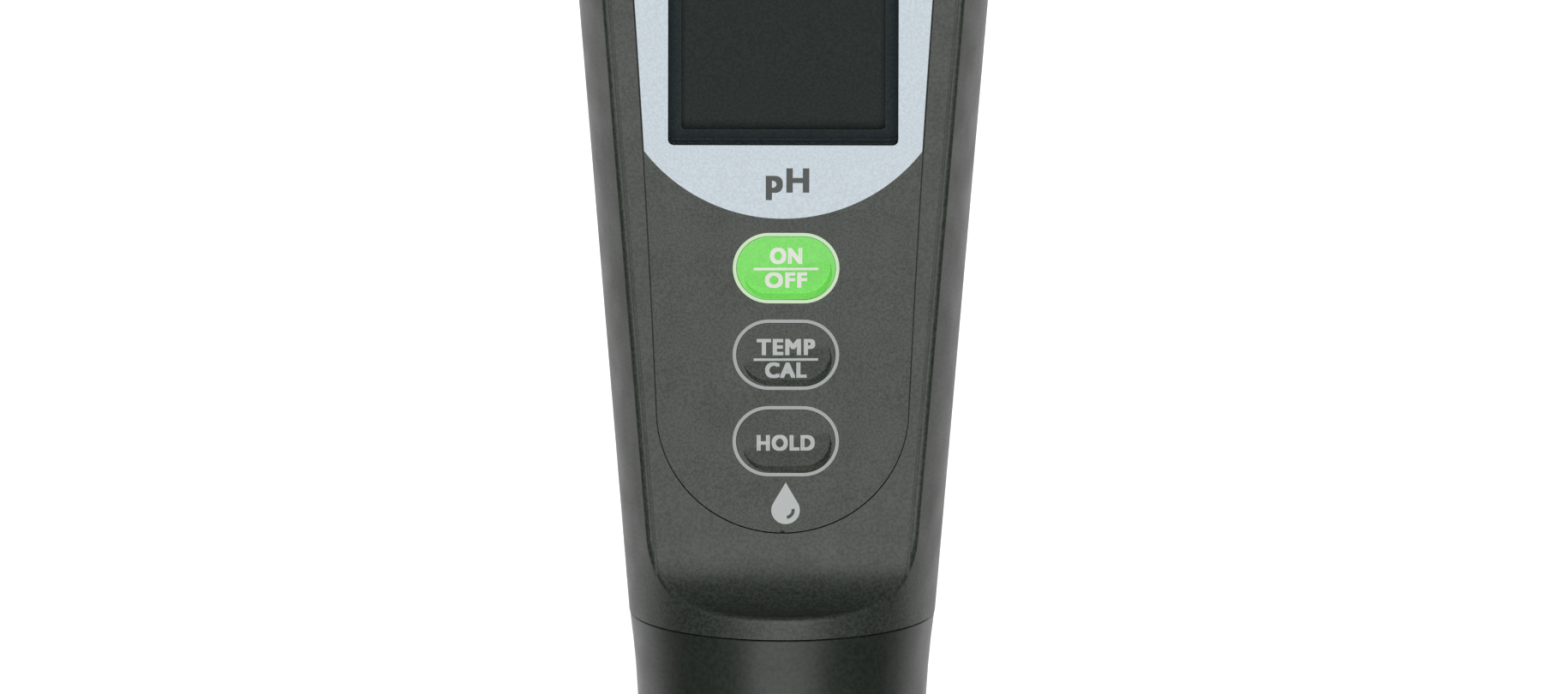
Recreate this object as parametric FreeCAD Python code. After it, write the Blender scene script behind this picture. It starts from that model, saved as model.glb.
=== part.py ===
"""A hand-held pen pH meter standing in its storage cap.

Units are millimetres. +Z is up, the display faces -Y, and the origin is the centre of the storage cap's flat base.
Every function returns one sub-part in place, and main() writes each to parts/NODE.step.
"""

import FreeCAD, Part
import math
import os

from FreeCAD import Vector

# ---- Driving dimensions of the main housing --
SEAM_Z = 88.0            # where the housing's shoulder meets the storage cap
BODY_TOP_Z = 169.0       # where the battery cap meets the housing
BODY_BOTTOM_R = 12.03    # outer radius at the seam
CONE_END_Z = 138.0       # the straight taper ends here and the barrel curve begins
CONE_END_R = 16.14
BARREL_Z = 156.0         # widest level
BODY_WALL = 2.0

# ---- Front face: a flat cut across the round housing, with a round scoop at each end --
FACE_PIVOT_Z = 110.0     # level at which FACE_DEPTH is measured
FACE_DEPTH = 7.28        # from the axis to the flat face
FACE_TILT = 1.358        # degrees: the face leans forward towards its top
FACE_WALL = 2.2          # thickness of the housing behind the face
SCOOP_BOTTOM_Z = 95.1    # the flat ends here and the lower scoop begins
SCOOP_BOTTOM_R = 5.2
SCOOP_TOP_Z = 158.5
SCOOP_TOP_R = 8.1
EDGE_INSET = 2.1         # from the silhouette to the edge of the flat
REVEAL_INSET = 0.32      # groove along the edge of the flat, this far inside it
REVEAL_WIDTH = 0.27
REVEAL_DEPTH = 0.36
REVEAL_LOW_Z = 92.2      # the groove runs out into the lower scoop here
REVEAL_HIGH_Z = 163.0
LIP_ROUND = 0.45
FLAT_LOW_Z = 80.0        # the outline of the flat is drawn between these two levels
FLAT_HIGH_Z = 168.5
FAR = 30.0               # how far cutting shapes reach beyond the housing

# ---- Overlay, window and keys --
OVERLAY_LOW_Z = 95.55
OVERLAY_LOW_R = 9.85     # half round at the bottom
OVERLAY_MID = (11.02, 128.0)
OVERLAY_TOP_R = 12.2
OVERLAY_TOP_CENTRE_Z = 145.6
OVERLAY_SINK = 0.02      # the overlay's front lies this far below the flat
OVERLAY_T = 0.48         # depth of its back
OVERLAY_NOTCH_R = 0.2
POCKET_DEPTH = 0.5
SEAT_GAP = 0.1           # all round the overlay
WINDOW_W = 18.0
WINDOW_H = 21.0
WINDOW_LOW_Z = 126.68
APERTURE_INSET = 0.95    # the housing's opening is smaller than the overlay's by this on each side
LENS_INSET = 1.0         # the lens is larger than the overlay's opening by this on each side
LENS_T = 1.0
WINDOW_CORNER_R = 0.45
LENS_CORNER_R = 0.6
APERTURE_CORNER_R = 0.5
KEY_PITCH = 6.955
KEY_MIDDLE_Z = 109.86
KEY_W = 7.75
KEY_H = 5.05
KEY_GAP = 0.03
KEY_X = 0.25             # the keys stand this far to the right of the centre line
KEY_DISH_TILT = 9.0      # degrees: the lower half of each key slopes inwards to catch the thumb
KEY_DISH_SKEW = 12.0     # degrees: the slope is turned a little towards the key's right end
KEY_DISH_BEVEL = 0.4     # bevel between the slope and the key's edge
KEY_DISH_EDGE = 0.02     # rim left standing outside the slope
KEY_NAMES = ("key_hold", "key_temp_cal", "key_on_off")
FLANGE_W = 9.2
FLANGE_H = 5.7
MAT_W = 11.6
MAT_H = 21.2
MAT_T = 1.0
FLANGE_CORNER_R = 1.2
MAT_CORNER_R = 1.5
FLANGE_BACK = POCKET_DEPTH + 0.45
SEAT = 0.02              # parts that lie against a shoulder stand off it by this
STEM_R = 1.4
STEM_CLEARANCE = 0.2
STEM_TIP_R = 0.8
STEM_TIP = 1.0           # length of the thinner tip that reaches into the switch

# ---- Depths behind the face, from the outside in --
LCD_FRONT = 2.45
LCD_T = 1.8
LCD_W = 20.0
LCD_FRONT_H = 21.4       # height of the front sheet
LCD_REAR_H = 24.0        # and of the rear sheet with its contact ledges
HOLDER_WALL = 0.75
HOLDER_GAP = 0.05
STRIP_Z = 11.0           # contact strips stand this far above and below the window's middle
STRIP_W = 18.8
STRIP_H = 1.8
BOARD_FRONT = 5.25
BOARD_T = 1.0
SWITCH_T = 1.05
BOARD_W = 18.8
BOARD_LOW_Z = 97.5
BOARD_TOP_Z = 151.5
SCREW_SPOTS = ((-7.6, 100.0), (7.6, 100.0), (-7.6, 121.6), (7.6, 121.6))
SCREW_HOLE_R = 0.85
SCREW_R = 0.65
SCREW_HEAD_R = 1.3
SCREW_HEAD_T = 0.8
SCREW_SLOT_W = 0.3
SCREW_SLOT_L = 1.8
POST_R = 1.5
POST_FRONT = 2.0         # posts stand on the back of the face
POST_BORE_FRONT = 2.3
SWITCH_SIZE = 4.4
SWITCH_REACH = 0.25      # how far a key's tip stands inside its switch
SWITCH_WELL_R = 0.95
SWITCH_FLOOR = 0.2
BLADE_X = 4.6
BLADE_W = 1.8
BLADE_T = 0.3
BLADE_LOW_Z = 145.0
BLADE_TOP_Z = 162.0
SOCKET_LOW_Z = 85.3
SOCKET_TOP_Z = 92.0
PIN_HOLE_TOP_Z = 90.0
PIN_HOLE_CLEARANCE = 0.06
FLEX_PATH = ((0.1, 92.0), (0.6, 95.0), (-0.75, 98.5))   # (y, z) from the socket to the board
FLEX_W = 4.0
FLEX_T = 0.2

# ---- Lower end: spigot for the cap, neck and sensor --
SPIGOT_R = 9.9
SPIGOT_LOW_Z = 80.0
NECK_R = 7.9
NECK_LOW_Z = 68.0
NECK_BORE_R = 6.3
FLOOR_LOW_Z = 85.0
FLOOR_HOLE_R = 3.2
FLOOR_OVERLAP = 0.2      # the lower end is joined to the shell over this height
SHELL_OVERLAP = 1.0      # and over this width
SPIGOT_CHAMFER = 0.4
CAP_SEAL_Z = 83.4
CAP_SEAL_R = 9.5
SEAL_WIRE = 0.42         # half the thickness of every O-ring
SEAL_GROOVE_H = 1.0
SEAL_GROOVE_GAP = 0.03
COLLAR_R = 8.8
COLLAR_LOW_Z = 61.0
COLLAR_TOP_Z = 78.0
FLANGE_R = 7.5
SENSOR_R = 6.0
SENSOR_TIP_Z = 12.0
SENSOR_BORE_R = 4.9
SENSOR_HEAD_R = 6.1
SENSOR_HEAD_TOP_Z = 84.3
FIT = 0.05               # a close running or seating gap
BULB_R = 3.4
BULB_Z = 18.2
STEM_GLASS_R = 2.4
PIN_R = 0.4
PIN_SPREAD = 1.3
PIN_ROOT = 2.0           # how deep the pins sit in the head
PIN_TIP_Z = 88.5
PIN_TIP_R = 0.15
PIN_TIP_L = 0.6
STEM_TOP_Z = 65.9        # glass stem and wire end here, inside the head
BULB_WALL = 0.4
STEM_WALL = 0.7
WIRE_R = 0.35
GUARD_SLOT_W = 3.6
GUARD_SLOT_H = 6.0
GUARD_SLOTS = 3
TIP_ROUND = 0.4
SENSOR_FLANGE_LOW_Z = 64.0
HEAD_SEAL_Z = 72.5
HEAD_SEAL_R = 5.85
BULKHEAD_LOW_Z = 23.0    # wall across the sensor tube that holds stem, junction and probe
BULKHEAD_TOP_Z = 26.0
PROBE_R = 0.6
PROBE_SPREAD = 4.15
COLLAR_RIBS = 18
COLLAR_RIB_R = 0.7
COLLAR_RIB_OUT = 0.35    # the flute cutter's axis lies this far outside the collar
COLLAR_BORE_GAP = 0.1
COLLAR_SHOULDER_GAP = 0.3

# ---- Storage cap --
CAP_MOUTH_BORE_R = 10.0
CAP_BORE_R = 9.2
CAP_FLOOR = 3.0
CAP_MOUTH_LOW_Z = 79.7   # the wider bore that takes the spigot starts here
SPONGE_TOP_Z = 9.5
CAP_BASE_R = 10.4
CAP_STRAIGHT_Z = 66.0    # below this the cap is a plain cylinder
CAP_FLARE = (11.37, 81.4)  # (radius, level) where the straight taper turns into a flare
CAP_FLARE_MIDDLE = (11.68, 85.4)
CAP_TOP_R = 11.98
CAP_TOP_GAP = 0.1        # seam between the cap and the housing
CAP_TOP_CHAMFER = 0.06
CAP_FOOT = 0.6           # chamfer round the base

# ---- Battery end --
CROWN_NECK_R = 13.4
CROWN_NECK_BORE_R = 12.4
CROWN_NECK_TOP_Z = 174.5
CAP_CLEARANCE = 0.15
BATTERY_CAP_TOP_Z = 177.5
BATTERY_CAP_GAP = 0.12
LUG_R = 5.0
LUG_Z = 180.0
LUG_T = 5.0
LUG_ROUND = 1.2
EYE_ROUND = 0.5
GRIP_FLUTES = 20
GRIP_FLUTE_R = 1.1
GRIP_FLUTE_OUT = 0.75    # the flute cutter's axis lies this far outside the cap
GRIP_LOW = 1.2           # the flutes run between these heights above the cap's rim
GRIP_TOP = 4.6
CAP_SIDE_LEAN = 0.9      # how far the cap's side leans in up to its shoulder
CAP_SHOULDER_DROP = 2.6  # from the cap's top down to its shoulder
CAP_CROWN_INSET = 3.4    # where the rounded shoulder meets the flat top
BOSS_GAP = 0.5
BOSS_WALL = 1.5
CROWN_OVERLAP = 1.5      # the crown is joined to the housing over this height
CROWN_ROOM = 0.2         # clear height above the crown inside the cap
LANYARD_R = 1.75
LANYARD_Z = 180.8
CELL_R = 5.8
CELL_H = 5.4
CELL_LOW_Z = 156.4
CELL_Y = 5.2
CELL_COUNT = 3
CELL_CAP_R = 4.6
CELL_CAP_H = 0.5
CELL_ROUND = 0.35
LEAF_T = 0.3
LEAF_L = 9.6
LEAF_W = 3.0
LEAF_GAP = 0.05          # between the leaf's crown and the lowest cell
TUBE_R = 6.9
TUBE_BORE_R = 6.1
TUBE_LOW_Z = 152.5
TUBE_FLOOR = 1.0
TUBE_WINDOW_W = 5.2
DECK_LOW_Z = 170.0
DECK_TOP_Z = 171.5
CONTACT_LOW_Z = 172.7    # disc under the battery cap that meets the cells
CONTACT_TOP_Z = 173.0
CROWN_SEAL_Z = 172.0
CROWN_SEAL_R = 13.1

AXIS = Vector(0, 0, 1)


# ---- Small helpers --
def cylinder(radius, low, high, x=0.0, y=0.0):
    """An upright cylinder between two levels."""
    return Part.makeCylinder(radius, high - low, Vector(x, y, low), AXIS)


def ring(outer, inner, low, high, x=0.0, y=0.0):
    """An upright tube between two levels."""
    return cylinder(outer, low, high, x, y).cut(cylinder(inner, low - 1, high + 1, x, y))


def box(x0, x1, y0, y1, z0, z1):
    """A box between two corners."""
    return Part.makeBox(x1 - x0, y1 - y0, z1 - z0, Vector(x0, y0, z0))


def revolve(edges):
    """A solid turned about the Z axis from edges drawn in the XZ half-plane."""
    face = Part.Face(Part.Wire(edges))
    return face.revolve(Vector(0, 0, 0), AXIS, 360)


def line(a, b):
    """A line between two (radius, z) points in the XZ plane."""
    return Part.LineSegment(Vector(a[0], 0, a[1]), Vector(b[0], 0, b[1])).toShape()


def arc(a, through, b):
    """An arc through three (radius, z) points in the XZ plane."""
    return Part.Arc(*[Vector(p[0], 0, p[1]) for p in (a, through, b)]).toShape()


def turned(points):
    """A solid of revolution with straight sides, from (radius, z) points."""
    closed = list(points) + [points[0]]
    return revolve([line(a, b) for a, b in zip(closed, closed[1:])])


def seal(centre_r, z):
    """An O-ring lying level."""
    return Part.makeTorus(centre_r, SEAL_WIRE, Vector(0, 0, z), AXIS)


def seal_groove(outer_r, seal_r, z):
    """What is cut from an outer wall to seat an O-ring."""
    inner_r = seal_r - SEAL_WIRE - SEAL_GROOVE_GAP
    return ring(outer_r + 1, inner_r, z - SEAL_GROOVE_H / 2, z + SEAL_GROOVE_H / 2)


def on_face(shape):
    """Moves a shape drawn about the upright plane y = 0 onto the leaning front face. Depth is +y."""
    placed = shape.copy()
    placed.translate(Vector(0, 0, -FACE_PIVOT_Z))
    placed.rotate(Vector(0, 0, 0), Vector(1, 0, 0), FACE_TILT)
    placed.translate(Vector(0, -FACE_DEPTH, FACE_PIVOT_Z))
    return placed


def prism(edges, front, back):
    """A solid between two depths, from edges drawn in the plane y = 0."""
    face = Part.Face(Part.Wire(edges))
    face.translate(Vector(0, front, 0))
    return face.extrude(Vector(0, back - front, 0))


def rounded_box(width, height, radius, z, front, back, x=0.0):
    """A plate with rounded corners, centred at level z."""
    plate = box(x - width / 2, x + width / 2, front, back, z - height / 2, z + height / 2)
    corners = [e for e in plate.Edges if abs(e.tangentAt(e.FirstParameter).y) > 0.9]
    return plate.makeFillet(radius, corners)


def stadium(width, height, z, front, back):
    """A plate with half-round ends, centred on the keys' line at level z."""
    end_r = height / 2
    middle = width / 2 - end_r
    plate = box(-middle, middle, front, back, z - end_r, z + end_r)
    for x in (-middle, middle):
        end = Part.makeCylinder(end_r, back - front, Vector(x, front, z), Vector(0, 1, 0))
        plate = plate.fuse(end)
    plate.translate(Vector(KEY_X, 0, 0))
    return plate.removeSplitter()


def around_axis(count, reach):
    """Evenly spaced (x, y) spots round the axis, the first on +X."""
    angles = [2 * math.pi * n / count for n in range(count)]
    return [(reach * math.cos(a), reach * math.sin(a)) for a in angles]


def key_levels():
    """The level of each key's centre, from the lowest up."""
    return [KEY_MIDDLE_Z + KEY_PITCH * n for n in (-1, 0, 1)]


# ---- Main housing --
def barrel_radius():
    """Radius of the arc that blends the taper into the barrel's widest level."""
    slope = math.atan((CONE_END_R - BODY_BOTTOM_R) / (CONE_END_Z - SEAM_Z))
    return (BARREL_Z - CONE_END_Z) / math.sin(slope)


def body_radius(z):
    """Outer radius of the round housing at a level."""
    if z <= CONE_END_Z:
        share = (z - SEAM_Z) / (CONE_END_Z - SEAM_Z)
        return BODY_BOTTOM_R + share * (CONE_END_R - BODY_BOTTOM_R)
    arc_r = barrel_radius()
    centre_r = CONE_END_R - math.sqrt(arc_r**2 - (CONE_END_Z - BARREL_Z) ** 2)
    return centre_r + math.sqrt(arc_r**2 - (z - BARREL_Z) ** 2)


def body_form(offset, low, high):
    """The round form of the housing, shrunk by offset, between two levels."""
    r = lambda z: body_radius(z) - offset
    curve_low = max(low, CONE_END_Z)
    edges = [line((0, low), (r(low), low))]
    if low < CONE_END_Z:
        edges.append(line((r(low), low), (r(CONE_END_Z), CONE_END_Z)))
    middle = (curve_low + high) / 2
    edges.append(arc((r(curve_low), curve_low), (r(middle), middle), (r(high), high)))
    edges.append(line((r(high), high), (0, high)))
    edges.append(line((0, high), (0, low)))
    return revolve(edges)


def face_air(depth):
    """The space in front of the flat and its two scoops, sunk by depth, across the whole width."""
    far, low_r, high_r = -FAR, SCOOP_BOTTOM_R, SCOOP_TOP_R
    low, high = SCOOP_BOTTOM_Z, SCOOP_TOP_Z
    half = math.sqrt(0.5)
    point = lambda y, z: Vector(-FAR, y + depth, z)
    lip_low, lip_high = point(-low_r, low - low_r), point(-high_r, high + high_r)
    low_arc = Part.Arc(lip_low, point(low_r * (half - 1), low - low_r * half), point(0, low))
    high_arc = Part.Arc(point(0, high), point(high_r * (half - 1), high + high_r * half), lip_high)
    edges = [
        Part.LineSegment(point(far, low - low_r), lip_low).toShape(),
        low_arc.toShape(),
        Part.LineSegment(point(0, low), point(0, high)).toShape(),
        high_arc.toShape(),
        Part.LineSegment(lip_high, point(far, high + high_r)).toShape(),
        Part.LineSegment(point(far, high + high_r), point(far, low - low_r)).toShape(),
    ]
    return on_face(Part.Face(Part.Wire(edges)).extrude(Vector(2 * FAR, 0, 0)))


def edge_of_flat(inset):
    """A slab whose outline lies inset inside the edge of the flat, following the housing's side."""
    low, high, middle = FLAT_LOW_Z, FLAT_HIGH_Z, (CONE_END_Z + FLAT_HIGH_Z) / 2
    x = lambda z: body_radius(z) - EDGE_INSET - inset
    side = lambda s: [
        line((s * x(low), low), (s * x(CONE_END_Z), CONE_END_Z)),
        arc((s * x(CONE_END_Z), CONE_END_Z), (s * x(middle), middle), (s * x(high), high)),
    ]
    ends = [line((-x(low), low), (x(low), low)), line((-x(high), high), (x(high), high))]
    return prism(Part.sortEdges(side(1) + side(-1) + ends)[0], -FAR, 0)


def reveal_groove():
    """The narrow groove beside each edge of the flat."""
    strips = edge_of_flat(REVEAL_INSET).cut(edge_of_flat(REVEAL_INSET + REVEAL_WIDTH))
    strips = strips.common(face_air(REVEAL_DEPTH))
    return strips.common(box(-FAR, FAR, -FAR, 0, REVEAL_LOW_Z, REVEAL_HIGH_Z))


def overlay_outline(grow):
    """Edges of the overlay's outline, grown all round: half round below, flared sides, round top."""
    low_r, top_r = OVERLAY_LOW_R + grow, OVERLAY_TOP_R + grow
    low_c, top_c = OVERLAY_LOW_Z + OVERLAY_LOW_R, OVERLAY_TOP_CENTRE_Z
    mid_x, mid_z = OVERLAY_MID[0] + grow, OVERLAY_MID[1]
    return [
        arc((-low_r, low_c), (0, low_c - low_r), (low_r, low_c)),
        arc((low_r, low_c), (mid_x, mid_z), (top_r, top_c)),
        arc((top_r, top_c), (0, top_c + top_r), (-top_r, top_c)),
        arc((-top_r, top_c), (-mid_x, mid_z), (-low_r, low_c)),
    ]


def window_plate(grow, corner, front, back):
    """A plate the size of the overlay's window, grown all round."""
    z = WINDOW_LOW_Z + WINDOW_H / 2
    return rounded_box(WINDOW_W + 2 * grow, WINDOW_H + 2 * grow, corner, z, front, back)


def front_cuts():
    """What is cut through the housing's face for the overlay, lens, keypad and key stems."""
    seat = prism(overlay_outline(SEAT_GAP), -2, POCKET_DEPTH)
    lens = window_plate(LENS_INSET + FIT, LENS_CORNER_R, -1, POCKET_DEPTH + LENS_T + FIT)
    aperture = window_plate(-APERTURE_INSET, APERTURE_CORNER_R, -1, FACE_WALL + 3)
    mat_back = POCKET_DEPTH + MAT_T + FIT
    mat = rounded_box(MAT_W + 2 * FIT, MAT_H + 2 * FIT, MAT_CORNER_R, KEY_MIDDLE_Z, -1, mat_back)
    cuts = seat.fuse([lens, aperture, mat])
    for z in key_levels():
        stem = Part.makeCylinder(STEM_R + STEM_CLEARANCE, BOARD_FRONT + 2, Vector(KEY_X, -1, z), Vector(0, 1, 0))
        cuts = cuts.fuse(stem)
    return on_face(cuts)


def housing():
    """One-piece round housing: flat face with scoops, neck and spigot below, threaded crown above."""
    outer = body_form(0, SEAM_Z, BODY_TOP_Z).cut(face_air(0))
    lips = [e for e in outer.Edges if is_lip(e)]
    outer = outer.makeFillet(LIP_ROUND, lips) if lips else outer
    outer = outer.cut(reveal_groove())
    cavity = body_form(BODY_WALL, SEAM_Z, BODY_TOP_Z - CROWN_OVERLAP).cut(face_air(FACE_WALL))
    solid = outer.cut(cavity)
    lower = turned([
        (FLOOR_HOLE_R, SEAM_Z + FLOOR_OVERLAP), (FLOOR_HOLE_R, FLOOR_LOW_Z), (NECK_BORE_R, FLOOR_LOW_Z),
        (NECK_BORE_R, NECK_LOW_Z), (NECK_R, NECK_LOW_Z), (NECK_R, SPIGOT_LOW_Z),
        (SPIGOT_R - SPIGOT_CHAMFER, SPIGOT_LOW_Z), (SPIGOT_R, SPIGOT_LOW_Z + SPIGOT_CHAMFER), (SPIGOT_R, SEAM_Z),
        (BODY_BOTTOM_R - SHELL_OVERLAP, SEAM_Z), (BODY_BOTTOM_R - SHELL_OVERLAP, SEAM_Z + FLOOR_OVERLAP),
    ])
    lower = lower.cut(seal_groove(SPIGOT_R, CAP_SEAL_R, CAP_SEAL_Z))
    crown = ring(CROWN_NECK_R, CROWN_NECK_BORE_R, BODY_TOP_Z - CROWN_OVERLAP, CROWN_NECK_TOP_Z)
    crown = crown.cut(seal_groove(CROWN_NECK_R, CROWN_SEAL_R, CROWN_SEAL_Z))
    opening = cylinder(CROWN_NECK_BORE_R, BODY_TOP_Z - 2 * CROWN_OVERLAP, CROWN_NECK_TOP_Z + 1)
    solid = solid.fuse([lower, crown]).cut(opening)
    return solid.cut(front_cuts()).removeSplitter()


def is_lip(edge):
    """True for the edge where the lower scoop runs out through the round housing."""
    span = edge.BoundBox
    lip_z = SCOOP_BOTTOM_Z - SCOOP_BOTTOM_R
    return span.ZMax < lip_z + 1.0 and span.ZMin > SEAM_Z + 0.5 and span.YMax < -5


# ---- Display, overlay and keys --
def overlay():
    """Thin overlay set in the face, open over the window and round each key."""
    plate = prism(overlay_outline(0), OVERLAY_SINK, OVERLAY_T)
    plate = plate.cut(window_plate(0, WINDOW_CORNER_R, -1, 2))
    for z in key_levels():
        plate = plate.cut(stadium(KEY_W + 2 * KEY_GAP, KEY_H + 2 * KEY_GAP, z, -1, 2))
    notch = Part.makeCylinder(OVERLAY_NOTCH_R, 2, Vector(0, -1, OVERLAY_LOW_Z), Vector(0, 1, 0))
    return on_face(plate.cut(notch))


def display_lens():
    """Clear window seated in the housing behind the overlay."""
    return on_face(window_plate(LENS_INSET, LENS_CORNER_R, POCKET_DEPTH, POCKET_DEPTH + LENS_T))


def lcd_plate(width, height, front, back):
    """A flat plate centred behind the window."""
    z = WINDOW_LOW_Z + WINDOW_H / 2
    return box(-width / 2, width / 2, front, back, z - height / 2, z + height / 2)


def lcd_glass():
    """The liquid-crystal cell: two glass sheets, the rear one longer for its contact ledge."""
    front = lcd_plate(LCD_W, LCD_FRONT_H, LCD_FRONT, LCD_FRONT + LCD_T / 2)
    rear = lcd_plate(LCD_W, LCD_REAR_H, LCD_FRONT + LCD_T / 2, LCD_FRONT + LCD_T)
    return on_face(front.fuse(rear))


def lcd_holder():
    """Moulded frame that locates the display against the board."""
    front, back = FACE_WALL + HOLDER_GAP, BOARD_FRONT
    inner_w, inner_h = LCD_W + 2 * HOLDER_GAP, LCD_REAR_H + 2 * HOLDER_GAP
    outer = lcd_plate(inner_w + 2 * HOLDER_WALL, inner_h + 2 * HOLDER_WALL, front, back)
    return on_face(outer.cut(lcd_plate(inner_w, inner_h, front - 1, back + 1)))


def contact_strip(side):
    """Soft conductive strip between one end of the display and the board."""
    z = WINDOW_LOW_Z + WINDOW_H / 2 + side * STRIP_Z
    half_w, half_h = STRIP_W / 2, STRIP_H / 2
    return on_face(box(-half_w, half_w, LCD_FRONT + LCD_T, BOARD_FRONT, z - half_h, z + half_h))


def key(z):
    """One key: a pad hollowed below its middle, its flange behind the overlay and a stem down to the switch."""
    pad = stadium(KEY_W, KEY_H, z, 0, FLANGE_BACK)
    dish = stadium(KEY_W - 2 * KEY_DISH_EDGE, KEY_H - 2 * KEY_DISH_EDGE, z, -3, 0)
    floor = [e for e in dish.Edges if e.BoundBox.YMin > -1e-3]
    dish = dish.makeChamfer(KEY_DISH_BEVEL, floor)
    skew = math.radians(KEY_DISH_SKEW)
    dish.rotate(Vector(KEY_X, 0, z), Vector(math.cos(skew), 0, math.sin(skew)), KEY_DISH_TILT)
    pad = pad.cut(dish)
    flange = rounded_box(FLANGE_W, FLANGE_H, FLANGE_CORNER_R, z, POCKET_DEPTH + SEAT, FLANGE_BACK, KEY_X)
    root = Vector(KEY_X, POCKET_DEPTH, z)
    tip_length = BOARD_FRONT - SWITCH_T + SWITCH_REACH - POCKET_DEPTH
    stem = Part.makeCylinder(STEM_R, tip_length - STEM_TIP, root, Vector(0, 1, 0))
    tip = Part.makeCylinder(STEM_TIP_R, tip_length, root, Vector(0, 1, 0))
    return on_face(pad.fuse([flange, stem, tip]).removeSplitter())


def keypad_seal():
    """Silicone frame round the three key flanges."""
    mat = rounded_box(MAT_W, MAT_H, MAT_CORNER_R, KEY_MIDDLE_Z, POCKET_DEPTH + SEAT, POCKET_DEPTH + MAT_T)
    for z in key_levels():
        hole = rounded_box(FLANGE_W + 2 * FIT, FLANGE_H + 2 * FIT, FLANGE_CORNER_R + FIT, z, -1, BOARD_FRONT, KEY_X)
        mat = mat.cut(hole)
    return on_face(mat)


# ---- Board and what it carries --
def circuit_board():
    """The board, parallel to the face, drilled for four screws."""
    board = box(-BOARD_W / 2, BOARD_W / 2, BOARD_FRONT, BOARD_FRONT + BOARD_T, BOARD_LOW_Z, BOARD_TOP_Z)
    for x, z in SCREW_SPOTS:
        board = board.cut(Part.makeCylinder(SCREW_HOLE_R, FAR, Vector(x, 0, z), Vector(0, 1, 0)))
    return on_face(board)


def board_posts():
    """Posts from the back of the face that the board is screwed to."""
    posts = []
    for x, z in SCREW_SPOTS:
        post = Part.makeCylinder(POST_R, BOARD_FRONT - POST_FRONT, Vector(x, POST_FRONT, z), Vector(0, 1, 0))
        bore = Part.makeCylinder(SCREW_R, FAR, Vector(x, POST_BORE_FRONT, z), Vector(0, 1, 0))
        posts.append(post.cut(bore))
    return on_face(Part.makeCompound(posts))


def board_screws():
    """Four small cross-head screws."""
    back = BOARD_FRONT + BOARD_T
    screws = []
    for x, z in SCREW_SPOTS:
        head = Part.makeCylinder(SCREW_HEAD_R, SCREW_HEAD_T, Vector(x, back, z), Vector(0, 1, 0))
        end = POST_BORE_FRONT + 2 * FIT
        shank = Part.makeCylinder(SCREW_R, back - end, Vector(x, end, z), Vector(0, 1, 0))
        slot_floor, thin, long = back + SCREW_HEAD_T / 2, SCREW_SLOT_W / 2, SCREW_SLOT_L / 2
        slot = box(x - long, x + long, slot_floor, back + 2, z - thin, z + thin)
        cross = box(x - thin, x + thin, slot_floor, back + 2, z - long, z + long)
        screws.append(head.fuse(shank).cut(slot.fuse(cross)).removeSplitter())
    return on_face(Part.makeCompound(screws))


def key_switches():
    """Three tactile switches, each with a well for a key stem."""
    switches = []
    for z in key_levels():
        half = SWITCH_SIZE / 2
        body = box(KEY_X - half, KEY_X + half, BOARD_FRONT - SWITCH_T, BOARD_FRONT, z - half, z + half)
        mouth = Vector(KEY_X, BOARD_FRONT - SWITCH_T - FIT, z)
        well = Part.makeCylinder(SWITCH_WELL_R, SWITCH_T - SWITCH_FLOOR, mouth, Vector(0, 1, 0))
        switches.append(body.cut(well))
    return on_face(Part.makeCompound(switches))


def on_board_back(width, height, thick, x, z):
    """A component body soldered to the back of the board."""
    back = BOARD_FRONT + BOARD_T
    return on_face(box(x - width / 2, x + width / 2, back, back + thick, z - height / 2, z + height / 2))


def processor():
    """Square controller chip."""
    return on_board_back(7.0, 7.0, 1.4, 0, 130.0)


def input_amplifier():
    """Small amplifier chip close to the sensor socket."""
    return on_board_back(3.9, 5.0, 1.4, 0, 104.0)


def crystal_can():
    """Metal can of the clock crystal."""
    return on_board_back(2.4, 6.0, 1.6, 6.0, 138.5)


def capacitors():
    """Two small chip capacitors."""
    parts = [on_board_back(1.6, 3.2, 1.2, x, 113.0) for x in (-3.0, 3.0)]
    return Part.makeCompound(parts)


def supply_blades():
    """Two brass blades that rise from the board beside the battery tray."""
    back = BOARD_FRONT + BOARD_T
    half = BLADE_W / 2
    blades = [box(x - half, x + half, back, back + BLADE_T, BLADE_LOW_Z, BLADE_TOP_Z) for x in (-BLADE_X, BLADE_X)]
    return on_face(Part.makeCompound(blades))


def sensor_socket():
    """Socket in the housing floor that takes the sensor's pins."""
    body = cylinder(FLOOR_HOLE_R, SOCKET_LOW_Z, SOCKET_TOP_Z)
    for x, y in pin_spots():
        body = body.cut(cylinder(PIN_R + PIN_HOLE_CLEARANCE, SOCKET_LOW_Z - 1, PIN_HOLE_TOP_Z, x, y))
    return body


def socket_flex():
    """Flat flexible lead from the socket up to the board."""
    strips = []
    for (y0, z0), (y1, z1) in zip(FLEX_PATH, FLEX_PATH[1:]):
        outline = ((y0, z0), (y0 + FLEX_T, z0), (y1 + FLEX_T, z1), (y1, z1), (y0, z0))
        side = Part.Face(Part.makePolygon([Vector(-FLEX_W / 2, y, z) for y, z in outline]))
        strips.append(side.extrude(Vector(FLEX_W, 0, 0)))
    return strips[0].fuse(strips[1]).removeSplitter()


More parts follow.
